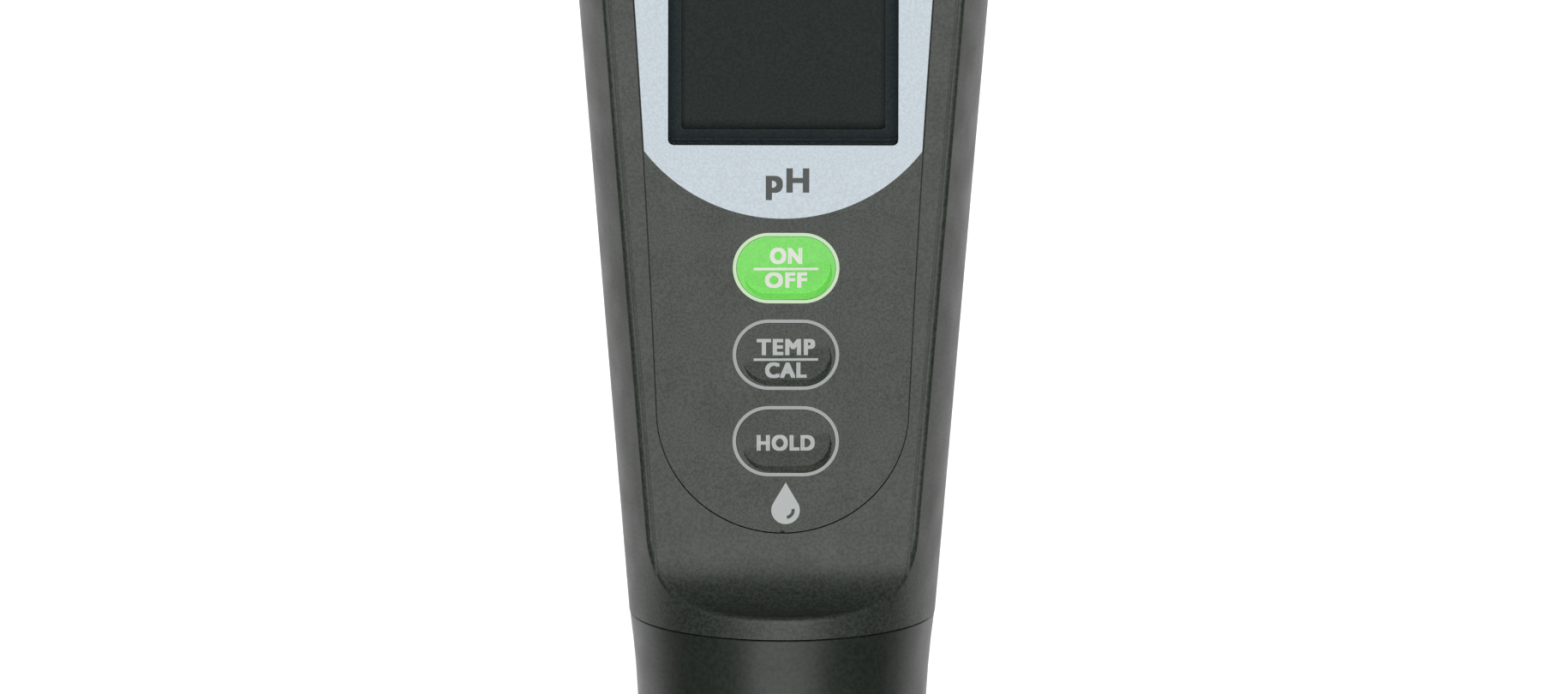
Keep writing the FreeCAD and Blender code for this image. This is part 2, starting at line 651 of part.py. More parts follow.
# ---- Battery end --
def battery_tray():
    """Deck and tube that lift out with the cells."""
    deck = cylinder(CROWN_NECK_BORE_R - FIT, DECK_LOW_Z, DECK_TOP_Z)
    tube = cylinder(TUBE_R, TUBE_LOW_Z, DECK_TOP_Z, 0, CELL_Y)
    bore = cylinder(TUBE_BORE_R, TUBE_LOW_Z + TUBE_FLOOR, DECK_TOP_Z + 1, 0, CELL_Y)
    half = TUBE_WINDOW_W / 2
    window = box(-half, half, CELL_Y, CELL_Y + FAR, TUBE_LOW_Z + 4, DECK_LOW_Z - 2)
    return deck.fuse(tube).cut(bore).cut(window).removeSplitter()


def button_cells():
    """Three alkaline button cells, one above another."""
    cells = []
    for n in range(CELL_COUNT):
        low = CELL_LOW_Z + n * CELL_H
        top = low + CELL_H - SEAT
        can = cylinder(CELL_R, low + CELL_CAP_H, top, 0, CELL_Y)
        cap = cylinder(CELL_CAP_R, low, low + CELL_CAP_H, 0, CELL_Y)
        top_edge = [e for e in can.Edges if abs(e.BoundBox.ZMin - top) < 1e-3]
        cells.append(can.makeFillet(CELL_ROUND, top_edge).fuse(cap).removeSplitter())
    return Part.makeCompound(cells)


def cell_spring():
    """Bowed contact leaf under the cells."""
    low, high, half = TUBE_LOW_Z + TUBE_FLOOR, CELL_LOW_Z - LEAF_GAP, LEAF_L / 2
    outer = arc((-half, low + LEAF_T), (0, high), (half, low + LEAF_T))
    inner = arc((-half, low), (0, high - LEAF_T), (half, low))
    ends = [line((x, low), (x, low + LEAF_T)) for x in (-half, half)]
    face = Part.Face(Part.Wire(Part.sortEdges([outer, inner] + ends)[0]))
    leaf = face.extrude(Vector(0, LEAF_W, 0))
    leaf.translate(Vector(0, CELL_Y - LEAF_W / 2, 0))
    return leaf


def battery_cap_form(offset, low, high):
    """Outer form of the battery cap: it carries on the housing's curve and closes in a soft dome."""
    base_r = body_radius(BODY_TOP_Z) - offset
    shoulder = (base_r - CAP_SIDE_LEAN, high - CAP_SHOULDER_DROP)
    crown = (base_r - CAP_CROWN_INSET, high)
    side = line((base_r, low), shoulder)
    turn = arc(shoulder, (base_r - 1.52, high - 0.72), crown)
    return revolve([line((0, low), (base_r, low)), side, turn, line(crown, (0, high)), line((0, high), (0, low))])


def grip_flutes(low):
    """What is cut from the cap's side for the fingers: round-ended grooves that follow its lean."""
    lean = CAP_SIDE_LEAN / (BATTERY_CAP_TOP_Z - CAP_SHOULDER_DROP - low)
    reach = body_radius(BODY_TOP_Z) + GRIP_FLUTE_OUT
    lower_ends = around_axis(GRIP_FLUTES, reach - lean * GRIP_LOW)
    upper_ends = around_axis(GRIP_FLUTES, reach - lean * GRIP_TOP)
    flutes = []
    for (x0, y0), (x1, y1) in zip(lower_ends, upper_ends):
        start, end = Vector(x0, y0, low + GRIP_LOW), Vector(x1, y1, low + GRIP_TOP)
        groove = Part.makeCylinder(GRIP_FLUTE_R, (end - start).Length, start, end - start)
        ends = [Part.makeSphere(GRIP_FLUTE_R, point) for point in (start, end)]
        flutes.append(groove.fuse(ends))
    return flutes


def battery_cap():
    """Screw cap with grip flutes and a lanyard lug."""
    low = BODY_TOP_Z + BATTERY_CAP_GAP
    cap = battery_cap_form(0, low, BATTERY_CAP_TOP_Z)
    skirt_r = CROWN_NECK_R + CAP_CLEARANCE
    cap = cap.cut(cylinder(skirt_r, low - 1, CROWN_NECK_TOP_Z + CROWN_ROOM))
    boss_r = CROWN_NECK_BORE_R - BOSS_GAP
    boss = cylinder(boss_r, CONTACT_TOP_Z, CROWN_NECK_TOP_Z + 1)
    boss = boss.cut(cylinder(boss_r - BOSS_WALL, CONTACT_TOP_Z - 1, CROWN_NECK_TOP_Z + CROWN_ROOM))
    for flute in grip_flutes(low):
        cap = cap.cut(flute)
    lug = Part.makeCylinder(LUG_R, LUG_T, Vector(0, -LUG_T / 2, LUG_Z), Vector(0, 1, 0))
    lug = lug.fuse(box(-LUG_R, LUG_R, -LUG_T / 2, LUG_T / 2, BATTERY_CAP_TOP_Z - 1.0, LUG_Z))
    rounds = [e for e in lug.removeSplitter().Edges if e.BoundBox.YLength < 1e-3 and e.BoundBox.ZMax > LUG_Z + 1]
    lug = lug.removeSplitter().makeFillet(LUG_ROUND, rounds)
    eye = Part.makeCylinder(LANYARD_R, LUG_T + 2, Vector(0, -LUG_T / 2 - 1, LANYARD_Z), Vector(0, 1, 0))
    solid = cap.fuse([boss, lug]).cut(eye).removeSplitter()
    mouth = [e for e in solid.Edges if is_eye_edge(e)]
    return solid.makeFillet(EYE_ROUND, mouth)


def is_eye_edge(edge):
    """True for the two round mouths of the lanyard eye."""
    span = edge.BoundBox
    flat = span.YLength < 1e-3 and abs(abs(span.YMin) - LUG_T / 2) < 1e-3
    return flat and abs(span.ZLength - 2 * LANYARD_R) < 1e-2


def cap_contact():
    """Plated contact disc under the battery cap."""
    return cylinder(CROWN_NECK_BORE_R - 0.3, CONTACT_LOW_Z, CONTACT_TOP_Z)


def battery_cap_seal():
    """O-ring round the crown."""
    return seal(CROWN_SEAL_R, CROWN_SEAL_Z)


# ---- Sensor --
def pin_spots():
    """Where the sensor's four pins stand."""
    return [(PIN_SPREAD * a, PIN_SPREAD * b) for a in (-1, 1) for b in (-1, 1)]


def sensor_head():
    """Connector block of the sensor: a flange clamped by the collar and a sealed plug in the neck."""
    plug_low = NECK_LOW_Z - FIT
    head = cylinder(SENSOR_HEAD_R, plug_low - 1, SENSOR_HEAD_TOP_Z)
    head = head.fuse(cylinder(FLANGE_R, SENSOR_FLANGE_LOW_Z, plug_low))
    head = head.cut(seal_groove(SENSOR_HEAD_R, HEAD_SEAL_R, HEAD_SEAL_Z))
    head = head.cut(cylinder(STEM_GLASS_R + FIT, SENSOR_FLANGE_LOW_Z - 1, STEM_TOP_Z + 2 * FIT))
    for x, y in pin_spots():
        head = head.cut(cylinder(PIN_R, SENSOR_HEAD_TOP_Z - PIN_ROOT, SENSOR_HEAD_TOP_Z + 1, x, y))
    return head.removeSplitter()


def sensor_pins():
    """Four gold-plated pins."""
    pins = []
    for x, y in pin_spots():
        shaft = cylinder(PIN_R, SENSOR_HEAD_TOP_Z - PIN_ROOT, PIN_TIP_Z, x, y)
        tip = Part.makeCone(PIN_R, PIN_TIP_R, PIN_TIP_L, Vector(x, y, PIN_TIP_Z), AXIS)
        pins.append(shaft.fuse(tip).removeSplitter())
    return Part.makeCompound(pins)


def sensor_seal():
    """O-ring round the sensor's plug."""
    return seal(HEAD_SEAL_R, HEAD_SEAL_Z)


def sensor_body():
    """Tube round the glass electrode, with three windows in the guard at its tip."""
    body = ring(SENSOR_R, SENSOR_BORE_R, SENSOR_TIP_Z, SENSOR_FLANGE_LOW_Z)
    rim = [e for e in body.Edges if abs(e.BoundBox.ZMax - SENSOR_TIP_Z) < 1e-3]
    body = body.makeFillet(TIP_ROUND, rim)
    bulkhead = cylinder((SENSOR_BORE_R + SENSOR_R) / 2, BULKHEAD_LOW_Z, BULKHEAD_TOP_Z)
    bulkhead = bulkhead.cut(cylinder(STEM_GLASS_R, BULKHEAD_LOW_Z - 1, BULKHEAD_TOP_Z + 1))
    body = body.fuse(bulkhead)
    for side in (-1, 1):
        body = body.cut(cylinder(PROBE_R, BULKHEAD_LOW_Z - 1, BULKHEAD_TOP_Z + 1, side * PROBE_SPREAD, 0))
    half, arch_z = GUARD_SLOT_W / 2, SENSOR_TIP_Z + GUARD_SLOT_H
    for n in range(GUARD_SLOTS):
        slot = box(-half, half, half, SENSOR_R + 1, SENSOR_TIP_Z - 1, arch_z)
        arch = Part.makeCylinder(half, SENSOR_R + 1 - half, Vector(0, half, arch_z), Vector(0, 1, 0))
        window = slot.fuse(arch)
        window.rotate(Vector(0, 0, 0), AXIS, 360 * n / GUARD_SLOTS)
        body = body.cut(window)
    return body.removeSplitter()


def glass_electrode():
    """Thin-walled glass bulb on a glass stem."""
    outer = Part.makeSphere(BULB_R, Vector(0, 0, BULB_Z)).fuse(cylinder(STEM_GLASS_R, BULB_Z, STEM_TOP_Z))
    inner_ball = Part.makeSphere(BULB_R - BULB_WALL, Vector(0, 0, BULB_Z))
    inner = inner_ball.fuse(cylinder(STEM_GLASS_R - STEM_WALL, BULB_Z, STEM_TOP_Z + 1))
    return outer.cut(inner).removeSplitter()


def reference_wire():
    """Silver wire down the middle of the glass stem."""
    return cylinder(WIRE_R, BULB_Z - 1.0, STEM_TOP_Z)


def reference_junction():
    """Porous pin through the bulkhead."""
    return cylinder(PROBE_R, BULKHEAD_LOW_Z - 0.4, BULKHEAD_TOP_Z, PROBE_SPREAD, 0)


def temperature_probe():
    """Steel-sleeved temperature sensor beside the bulb."""
    tip_z = BULB_Z - 1.2
    rod = cylinder(PROBE_R, tip_z, BULKHEAD_TOP_Z + 3, -PROBE_SPREAD, 0)
    tip = [e for e in rod.Edges if abs(e.BoundBox.ZMax - tip_z) < 1e-3]
    return rod.makeFillet(PROBE_R * 0.7, tip)


def sensor_collar():
    """Ribbed ring nut that clamps the sensor's flange against the neck."""
    collar = cylinder(COLLAR_R, COLLAR_LOW_Z, COLLAR_TOP_Z)
    collar = collar.cut(cylinder(SENSOR_R + COLLAR_BORE_GAP, COLLAR_LOW_Z - 1, COLLAR_TOP_Z))
    collar = collar.cut(cylinder(FLANGE_R + FIT, SENSOR_FLANGE_LOW_Z - FIT, COLLAR_TOP_Z + 1))
    collar = collar.cut(cylinder(NECK_R + FIT, NECK_LOW_Z - COLLAR_SHOULDER_GAP, COLLAR_TOP_Z + 1))
    for x, y in around_axis(COLLAR_RIBS, COLLAR_R + COLLAR_RIB_OUT):
        collar = collar.cut(cylinder(COLLAR_RIB_R, COLLAR_LOW_Z + 1.5, COLLAR_TOP_Z - 2.0, x, y))
    return collar.removeSplitter()


# ---- Storage cap --
def storage_cap():
    """Cap over the sensor; the instrument stands on its flat base."""
    top = SEAM_Z - CAP_TOP_GAP
    shoulder = (CAP_TOP_R, top - CAP_TOP_CHAMFER)
    below = [(0, 0), (CAP_BASE_R - CAP_FOOT, 0), (CAP_BASE_R, CAP_FOOT), (CAP_BASE_R, CAP_STRAIGHT_Z), CAP_FLARE]
    above = [shoulder, (CAP_TOP_R - CAP_TOP_CHAMFER, top), (0, top), (0, 0)]
    sides = [line(a, b) for path in (below, above) for a, b in zip(path, path[1:])]
    outer = revolve(Part.sortEdges(sides + [arc(CAP_FLARE, CAP_FLARE_MIDDLE, shoulder)])[0])
    inner = cylinder(CAP_BORE_R, CAP_FLOOR, SEAM_Z)
    mouth = cylinder(CAP_MOUTH_BORE_R, CAP_MOUTH_LOW_Z, SEAM_Z)
    return outer.cut(inner).cut(mouth).removeSplitter()


def cap_seal():
    """O-ring in the spigot's groove."""
    return seal(CAP_SEAL_R, CAP_SEAL_Z)


def cap_sponge():
    """Wetted sponge in the bottom of the cap."""
    return cylinder(CAP_BORE_R, CAP_FLOOR, SPONGE_TOP_Z)


# ---- Output --
def nodes():
    """Every sub-part by node name."""
    made = {
        "housing": housing().fuse(board_posts()).removeSplitter(),
        "overlay": overlay(),
        "display_lens": display_lens(),
        "lcd_glass": lcd_glass(),
        "lcd_holder": lcd_holder(),
        "contact_strip_lower": contact_strip(-1),
        "contact_strip_upper": contact_strip(1),
        "keypad_seal": keypad_seal(),
        "circuit_board": circuit_board(),
        "board_screws": board_screws(),
        "key_switches": key_switches(),
        "processor": processor(),
        "input_amplifier": input_amplifier(),
        "crystal_can": crystal_can(),
        "capacitors": capacitors(),
        "supply_blades": supply_blades(),
        "sensor_socket": sensor_socket(),
        "socket_flex": socket_flex(),
        "battery_tray": battery_tray(),
        "button_cells": button_cells(),
        "cell_spring": cell_spring(),
        "battery_cap": battery_cap(),
        "cap_contact": cap_contact(),
        "battery_cap_seal": battery_cap_seal(),
        "sensor_head": sensor_head(),
        "sensor_pins": sensor_pins(),
        "sensor_seal": sensor_seal(),
        "sensor_body": sensor_body(),
        "glass_electrode": glass_electrode(),
        "reference_wire": reference_wire(),
        "reference_junction": reference_junction(),
        "temperature_probe": temperature_probe(),
        "sensor_collar": sensor_collar(),
        "storage_cap": storage_cap(),
        "cap_seal": cap_seal(),
        "cap_sponge": cap_sponge(),
    }
    for name, z in zip(KEY_NAMES, key_levels()):
        made[name] = key(z)
    return made


def main():
    """Writes one STEP file per node."""
    os.makedirs("parts", exist_ok=True)
    for name, shape in nodes().items():
        shape.exportStep(f"parts/{name}.step")
        print(name, shape.isValid(), len(shape.Solids), round(shape.Volume, 2))


if __name__ == "__main__":
    main()
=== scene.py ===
"""Pen pH meter: finishes, printing, floor, lights and camera around the CAD frame.

The scene is in metres, +Z up, and the display faces -Y. Sizes on the face are in millimetres.
"""

import math

import bmesh
import bpy
from mathutils import Matrix, Vector


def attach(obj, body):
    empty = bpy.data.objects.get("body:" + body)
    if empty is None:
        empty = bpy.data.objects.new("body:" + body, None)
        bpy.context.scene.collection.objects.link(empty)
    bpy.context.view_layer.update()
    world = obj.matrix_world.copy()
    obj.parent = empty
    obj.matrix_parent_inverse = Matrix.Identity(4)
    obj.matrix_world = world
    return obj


MM = 0.001
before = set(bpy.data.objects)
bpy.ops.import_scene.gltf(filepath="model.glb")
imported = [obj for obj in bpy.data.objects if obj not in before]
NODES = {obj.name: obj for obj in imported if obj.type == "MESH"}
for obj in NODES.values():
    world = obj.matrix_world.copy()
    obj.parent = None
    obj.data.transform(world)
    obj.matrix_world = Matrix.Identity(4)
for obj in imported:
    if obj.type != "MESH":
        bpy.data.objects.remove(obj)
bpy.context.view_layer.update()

# ---- Driving dimensions shared with the CAD, in millimetres ----
FACE_PIVOT_Z = 110.0              # level at which the face's depth is measured
FACE_DEPTH = 7.28                 # from the axis to the flat face
FACE_TILT = 1.358                 # degrees: the face leans forward towards its top
OVERLAY_FRONT = 0.02              # the overlay's front lies this far below the face
OVERLAY_LOW_Z = 95.55
OVERLAY_LOW_R = 9.85              # half round at the bottom
OVERLAY_MID = (11.02, 128.0)      # a point on its side: half width and level
OVERLAY_TOP_R = 12.2              # half round at the top
OVERLAY_TOP_CENTRE_Z = 145.6
WINDOW_W, WINDOW_H, WINDOW_LOW_Z = 18.0, 21.0, 126.68
LENS_BACK = 1.5                   # depth of the lens's back
KEY_PITCH, KEY_MIDDLE_Z, KEY_X = 6.955, 109.86, 0.25
KEY_TILT = math.radians(9.0)      # the lower half of each key slopes back by this
KEY_SKEW = math.radians(12.0)     # the crease across each key is turned by this


# ---- Placing things on the leaning face ----
TILT = Matrix.Rotation(math.radians(FACE_TILT), 4, "X")


def on_face(x, z, depth):
    """Point at (x, z) on the face, sunk by depth; arguments in millimetres, result in metres."""
    local = TILT @ Vector((x, depth, z - FACE_PIVOT_Z))
    return (local + Vector((0, -FACE_DEPTH, FACE_PIVOT_Z))) * MM


def hollow_depth(x, z, key_z):
    """How far a key's surface lies below its flat upper half at a point."""
    above = (z - key_z) * math.cos(KEY_SKEW) - (x - KEY_X) * math.sin(KEY_SKEW)
    return max(0.0, -above * math.tan(KEY_TILT))


# ---- Thin flat pieces ----
INK = 0.01                        # thickness of every printed piece
HALF_THICK = 0.5                  # shapes are drawn one unit thick, half of it on each side


def mesh_of(curve):
    """Mesh of a flat curve or text, drawn in XY and one unit thick; the curve is removed."""
    curve.extrude = HALF_THICK
    source = bpy.data.objects.new(curve.name, curve)
    bpy.context.scene.collection.objects.link(source)
    shapes = bpy.context.evaluated_depsgraph_get()
    mesh = bpy.data.meshes.new_from_object(source.evaluated_get(shapes))
    bpy.data.objects.remove(source)
    bpy.data.curves.remove(curve)
    return mesh


def laid_on_face(name, shape, mesh, depth, body, material, key_z=None):
    """Lays a flat shape on the face as a piece; with key_z it follows the hollow of that key."""
    if key_z is not None:
        across = (-math.sin(KEY_SKEW), math.cos(KEY_SKEW), 0)
        everything = shape.verts[:] + shape.edges[:] + shape.faces[:]
        bmesh.ops.bisect_plane(shape, geom=everything, plane_co=(KEY_X, key_z, 0), plane_no=across)
    for vertex in shape.verts:
        x, z, out = vertex.co
        sunk = depth if key_z is None else depth + hollow_depth(x, z, key_z)
        vertex.co = on_face(x, z, sunk - (out + HALF_THICK) * INK)
    shape.to_mesh(mesh)
    shape.free()
    mesh.name = name
    mesh.materials.clear()
    obj = bpy.data.objects.new(name, mesh)
    bpy.context.scene.collection.objects.link(obj)
    mesh.materials.append(material)
    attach(obj, body)


def layer(name, outlines, depth, body, material, key_z=None):
    """A thin flat piece on the face: the first outline is its edge and the others are holes in it."""
    curve = bpy.data.curves.new(name, "CURVE")
    curve.dimensions = "2D"
    curve.fill_mode = "BOTH"
    for outline in outlines:
        spline = curve.splines.new("POLY")
        spline.points.add(len(outline) - 1)
        for point, (x, z) in zip(spline.points, outline):
            point.co = (x, z, 0, 1)
        spline.use_cyclic_u = True
    flat = mesh_of(curve)
    shape = bmesh.new()
    shape.from_mesh(flat)
    laid_on_face(name, shape, flat, depth, body, material, key_z)


# ---- Lettering ----
BOLD_X, BOLD_Z = 0.062, 0.045     # how far each stroke is thickened, as a share of the letter height
BOLD_CORNERS = ((-1, -1), (1, -1), (-1, 1), (1, 1))
BOLD_STEP = 0.2                   # each copy stands this share of the ink's thickness above the last
LETTER_SPACING = 1.16
LETTER_CURVE_STEPS = 6


def lettering(name, words, x, z, width, height, depth, body, material, key_z=None):
    """Bold sans lettering centred on a point and fitted to a width and cap height.

    Words that begin with a small letter hang below their line, so they are measured from the line up.
    """
    curve = bpy.data.curves.new(name, "FONT")
    curve.body = words
    curve.resolution_u = LETTER_CURVE_STEPS
    curve.space_character = LETTER_SPACING
    flat = mesh_of(curve)
    xs = [vertex.co.x for vertex in flat.vertices]
    ys = [vertex.co.y for vertex in flat.vertices]
    base = 0.0 if words[0].islower() else min(ys)
    middle_x, middle_y = (min(xs) + max(xs)) / 2, (base + max(ys)) / 2
    thicken_x, thicken_z = BOLD_X * height, BOLD_Z * height
    scale_x = (width - 2 * thicken_x) / (max(xs) - min(xs))
    scale_z = (height - 2 * thicken_z) / (max(ys) - base)
    bold = bmesh.new()
    for step, (side_x, side_z) in enumerate(BOLD_CORNERS):
        strokes = flat.copy()
        for vertex in strokes.vertices:
            vertex.co.x = (vertex.co.x - middle_x) * scale_x + x + side_x * thicken_x
            vertex.co.y = (vertex.co.y - middle_y) * scale_z + z + side_z * thicken_z
            vertex.co.z += step * BOLD_STEP
        bold.from_mesh(strokes)
        bpy.data.meshes.remove(strokes)
    laid_on_face(name, bold, flat, depth, body, material, key_z)


# ---- Outlines ----
ROUND_STEPS = 24                  # steps in a half-round end
CORNER_STEPS = 6                  # steps in a rounded corner


def stadium_outline(width, height, x, z):
    """Points round a shape with half-round ends."""
    radius, middle = height / 2, (width - height) / 2
    points = []
    for side, start in ((1, -90), (-1, 90)):
        for n in range(ROUND_STEPS + 1):
            angle = math.radians(start + 180 * n / ROUND_STEPS)
            points.append((x + side * middle + radius * math.cos(angle), z + radius * math.sin(angle)))
    return points


def rounded_outline(half_w, low, high, radius):
    """Points round a rectangle with rounded corners, centred on x = 0."""
    points = []
    corners = ((1, high, 0), (-1, high, 90), (-1, low, 180), (1, low, 270))
    for side, z, start in corners:
        centre_x = side * (half_w - radius)
        centre_z = z - radius if z == high else z + radius
        for n in range(CORNER_STEPS + 1):
            angle = math.radians(start + 90 * n / CORNER_STEPS)
            points.append((centre_x + radius * math.cos(angle), centre_z + radius * math.sin(angle)))
    return points


def window_outline(margin, radius):
    """Rounded outline a margin outside the window on every side, or inside it if the margin is negative."""
    high = WINDOW_LOW_Z + WINDOW_H + margin
    return rounded_outline(WINDOW_W / 2 + margin, WINDOW_LOW_Z - margin, high, radius)


def circle_through(a, b, c):
    """Centre and radius of the circle through three points."""
    (ax, ay), (bx, by), (cx, cy) = a, b, c
    d = 2 * (ax * (by - cy) + bx * (cy - ay) + cx * (ay - by))
    ux = ((ax**2 + ay**2) * (by - cy) + (bx**2 + by**2) * (cy - ay) + (cx**2 + cy**2) * (ay - by)) / d
    uy = ((ax**2 + ay**2) * (cx - bx) + (bx**2 + by**2) * (ax - cx) + (cx**2 + cy**2) * (bx - ax)) / d
    return (ux, uy), math.hypot(ax - ux, ay - uy)


# ---- Frame printed round the window ----
FRAME_ARC_R = 13.65               # the shallow arc that closes the frame below
FRAME_ARC_LOW_Z = 120.78
FRAME_EDGE = 0.03                 # bare overlay left outside the frame
FRAME_GAP = 0.02                  # and between the frame and the window
FRAME_CORNER_R = 0.45             # at the window's corners
FRAME_SIDE_STEPS = 30
FRAME_ARC_STEPS = 24              # from the middle of the arc to each end
FRAME_TOP_DEGREES = 3             # between points along the round top
FRAME_SEARCH_STEP = 0.01          # how finely the level of the arc's ends is looked for


def frame_side(z):
    """Half width of the frame at a level. Its side is a large arc that bows inwards, like the overlay's."""
    low_end = (OVERLAY_LOW_R, OVERLAY_LOW_Z + OVERLAY_LOW_R)
    high_end = (OVERLAY_TOP_R, OVERLAY_TOP_CENTRE_Z)
    (centre_x, centre_z), radius = circle_through(low_end, OVERLAY_MID, high_end)
    return centre_x - math.sqrt(radius**2 - (z - centre_z) ** 2) - FRAME_EDGE


def display_frame(materials):
    """Pale frame round the window, closed below by a shallow arc and above by the overlay's round top."""
    arc_centre = FRAME_ARC_LOW_Z + FRAME_ARC_R
    low_z = FRAME_ARC_LOW_Z
    while math.hypot(frame_side(low_z), low_z - arc_centre) > FRAME_ARC_R and low_z < arc_centre:
        low_z += FRAME_SEARCH_STEP
    if low_z >= arc_centre:
        raise ValueError("the frame's arc doesn't reach the overlay's side")
    rise = OVERLAY_TOP_CENTRE_Z - low_z
    levels = [low_z + rise * n / FRAME_SIDE_STEPS for n in range(FRAME_SIDE_STEPS + 1)]
    right = [(frame_side(z), z) for z in levels]
    left = [(-x, z) for x, z in reversed(right)]
    top_r = OVERLAY_TOP_R - FRAME_EDGE
    turns = [math.radians(a) for a in range(FRAME_TOP_DEGREES, 180, FRAME_TOP_DEGREES)]
    top = [(top_r * math.cos(turn), OVERLAY_TOP_CENTRE_Z + top_r * math.sin(turn)) for turn in turns]
    reach = math.asin(frame_side(low_z) / FRAME_ARC_R)
    turns = [reach * n / FRAME_ARC_STEPS for n in range(1 - FRAME_ARC_STEPS, FRAME_ARC_STEPS)]
    low = [(FRAME_ARC_R * math.sin(turn), arc_centre - FRAME_ARC_R * math.cos(turn)) for turn in turns]
    outlines = [right + top + left + low, window_outline(FRAME_GAP, FRAME_CORNER_R)]
    ink = materials["frame_print"]
    layer("display_frame_print", outlines, OVERLAY_FRONT, "housing", ink)


# ---- Mask printed behind the window, and a ring of painted shade in front of it ----
MASK_REACH = 0.9                  # the mask and the ring of painted shade run this far outside the window
MASK_OUTER_R, MASK_INNER_R = 0.5, 0.3
MASK_INSET = 1.0                  # hides the housing's ledge behind the lens
MASK_DEPTH = LENS_BACK + 0.045
# The ring in front of the mask is painted shade: a darker tone along the window's edge, where the recess
# behind the lens is shaded.
SHADE_RING_INSET = 0.94
SHADE_RING_DEPTH = LENS_BACK + 0.03   # in front of the mask


def window_mask(materials):
    """Mask behind the window in the display's tone, and in front of it a darker ring of painted shade along
    the window's edge.
    """
    outer = window_outline(MASK_REACH, MASK_OUTER_R)
    for name, inset, depth in (("mask", MASK_INSET, MASK_DEPTH), ("shade_ring", SHADE_RING_INSET, SHADE_RING_DEPTH)):
        outlines = [outer, window_outline(-inset, MASK_INNER_R)]
        layer("window_" + name, outlines, depth, "housing", materials[name])


# ---- Printing on and round the keys ----
RING_W, RING_H, RING_LINE = 8.08, 5.38, 0.27
LETTER_H = 1.31
BAR_W, BAR_H = 5.05, 0.2
BAR_DROP = 0.07                   # the bar lies this far below the middle of the two words
# Each key's place in pitches, then its words with their rise above the key's middle and their width
KEY_WORDS = {
    "key_on_off": (1, (("ON", 0.99, 2.52), ("OFF", -0.99, 3.3))),
    "key_temp_cal": (0, (("TEMP", 0.62, 4.58), ("CAL", -1.28, 3.25))),
    "key_hold": (-1, (("HOLD", -0.14, 4.55),)),
}


def key_ring(node, z, ink):
    """Outline ring printed round a key."""
    edges = (RING_LINE, -RING_LINE)
    outlines = [stadium_outline(RING_W + edge, RING_H + edge, KEY_X, z) for edge in edges]
    layer(node + "_ring", outlines, OVERLAY_FRONT, "housing", ink)


def word_bar(node, middle, ink, key_z):
    """Bar printed between a key's two words."""
    low, high = middle - BAR_H / 2, middle + BAR_H / 2
    left, right = KEY_X - BAR_W / 2, KEY_X + BAR_W / 2
    bar = [(left, low), (right, low), (right, high), (left, high)]
    layer(node + "_bar", [bar], 0.0, node, ink, key_z)


def key_printing(materials):
    """Ring round each key and the function words on it."""
    for node, (step, words) in KEY_WORDS.items():
        z = KEY_MIDDLE_Z + KEY_PITCH * step
        green = node == "key_on_off"
        ink = materials["pale_green_print" if green else "light_print"]
        key_ring(node, z, materials["green_ring_print" if green else "ring_print"])
        for text, rise, width in words:
            name = f"{node}_{text.lower()}"
            lettering(name, text, KEY_X, z + rise, width, LETTER_H, 0.0, node, ink, z)
        if len(words) == 2:
            middle = z + (words[0][1] + words[1][1]) / 2 - BAR_DROP
            word_bar(node, middle, ink, z)


# ---- Marks below the keys and below the window ----
DROP_R, DROP_Z = 1.12, 97.35      # round part and the level of its centre
DROP_H = 3.35                     # overall height
DROP_STEPS = 40
CRESCENT_OUTER_R, CRESCENT_INNER_R = 0.72, 0.46
CRESCENT_START, CRESCENT_SWEEP = -80, 90
CRESCENT_STEPS = 12
UNIT_X, UNIT_Z = KEY_X + 0.1, 123.85
UNIT_W, UNIT_H = 3.4, 1.95


def drop_mark(materials):
    """Plain water-drop pictogram below the keys, with a small crescent left open in it."""
    tip = DROP_H - DROP_R
    reach = math.acos(DROP_R / tip)
    start = math.pi / 2 + reach
    span = 2 * math.pi - 2 * reach
    angles = [start + span * n / DROP_STEPS for n in range(DROP_STEPS + 1)]
    outline = [(KEY_X + DROP_R * math.cos(a), DROP_Z + DROP_R * math.sin(a)) for a in angles]
    outline.append((KEY_X, DROP_Z + tip))
    degrees = [CRESCENT_START + CRESCENT_SWEEP * n / CRESCENT_STEPS for n in range(CRESCENT_STEPS + 1)]
    crescent = []
    for radius, way in ((CRESCENT_OUTER_R, degrees), (CRESCENT_INNER_R, reversed(degrees))):
        for angle in map(math.radians, way):
            crescent.append((KEY_X + radius * math.cos(angle), DROP_Z + radius * math.sin(angle)))
    ink = materials["light_print"]
    layer("drop_mark", [outline, crescent], OVERLAY_FRONT, "housing", ink)


def unit_mark(materials):
    """The letters pH below the window, standing on the frame's ink."""
    depth = OVERLAY_FRONT - INK
    ink = materials["dark_print"]
    lettering("unit_mark", "pH", UNIT_X, UNIT_Z, UNIT_W, UNIT_H, depth, "housing", ink)


def printing(materials):
    """Everything printed on the front."""
    display_frame(materials)
    window_mask(materials)
    key_printing(materials)
    drop_mark(materials)
    unit_mark(materials)


# ---- Building a material ----
NOISE_LOW, NOISE_HIGH = 0.3, 0.7  # most of a noise lies between these


def srgb(red, green, blue):
    """Linear colour from 0-255 display values."""
    def channel(value):
        value /= 255
        return value / 12.92 if value <= 0.04045 else ((value + 0.055) / 1.055) ** 2.4
    return (channel(red), channel(green), channel(blue), 1.0)


def scaled(colour, factor):
    """A colour made lighter or darker."""
    return tuple(min(1.0, channel * factor) for channel in colour[:3]) + (1.0,)


